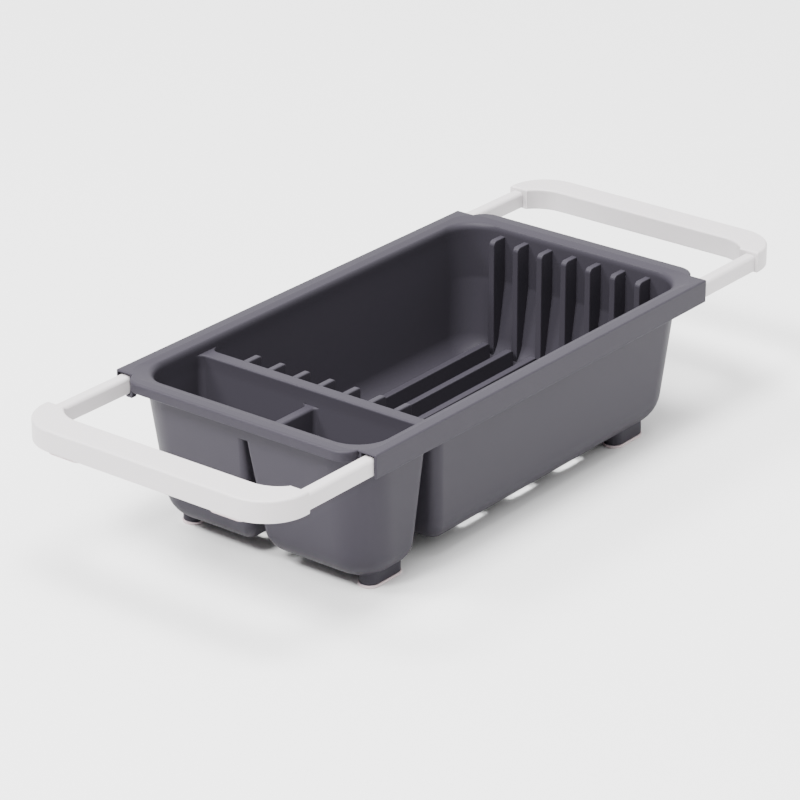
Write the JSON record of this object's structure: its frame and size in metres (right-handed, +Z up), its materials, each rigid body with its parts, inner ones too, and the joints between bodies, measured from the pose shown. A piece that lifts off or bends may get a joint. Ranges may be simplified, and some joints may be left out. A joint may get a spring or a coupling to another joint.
{
  "type": "expandable dish drying rack",
  "caption": "Over-sink dish drying rack: a moulded tub with plate ribs and cutlery cups, and U-shaped arms that slide out at both ends.",
  "frame": {"origin": "under the middle of the rack, on the plane its foot pads stand on", "axes": "+X along the rack from the cutlery cups to the plate slots, +Y to the left seen from the cup end, +Z up"},
  "size_m": [0.622, 0.24, 0.125],
  "materials": {
    "tub": "satin moulded plastic with a fine texture",
    "arm": "smooth satin moulded plastic",
    "pad": "soft matt rubber"
  },
  "bodies": {
    "tub_body": {"tub": "tub", "foot_pad_cups_left": "pad", "foot_pad_cups_right": "pad", "foot_pad_plates_left": "pad", "foot_pad_plates_right": "pad"},
    "cup_end_arm": {"cup_end_bar": "arm", "cup_end_rail_left": "arm", "cup_end_rail_right": "arm", "cup_end_rail_stop_left": "arm", "cup_end_rail_stop_right": "arm", "cup_end_grip_pad_left": "pad", "cup_end_grip_pad_right": "pad"},
    "plate_end_arm": {"plate_end_bar": "arm", "plate_end_rail_left": "arm", "plate_end_rail_right": "arm", "plate_end_rail_stop_left": "arm", "plate_end_rail_stop_right": "arm", "plate_end_grip_pad_left": "pad", "plate_end_grip_pad_right": "pad"}
  },
  "joints": [
    {"name": "cup_end_slide", "type": "slide", "parent": "tub_body", "child": "cup_end_arm", "axis": [-1, 0, 0], "range_m": [-0.066, 0.04]},
    {"name": "plate_end_slide", "type": "slide", "parent": "tub_body", "child": "plate_end_arm", "axis": [1, 0, 0], "range_m": [-0.066, 0.04]}
  ]
}
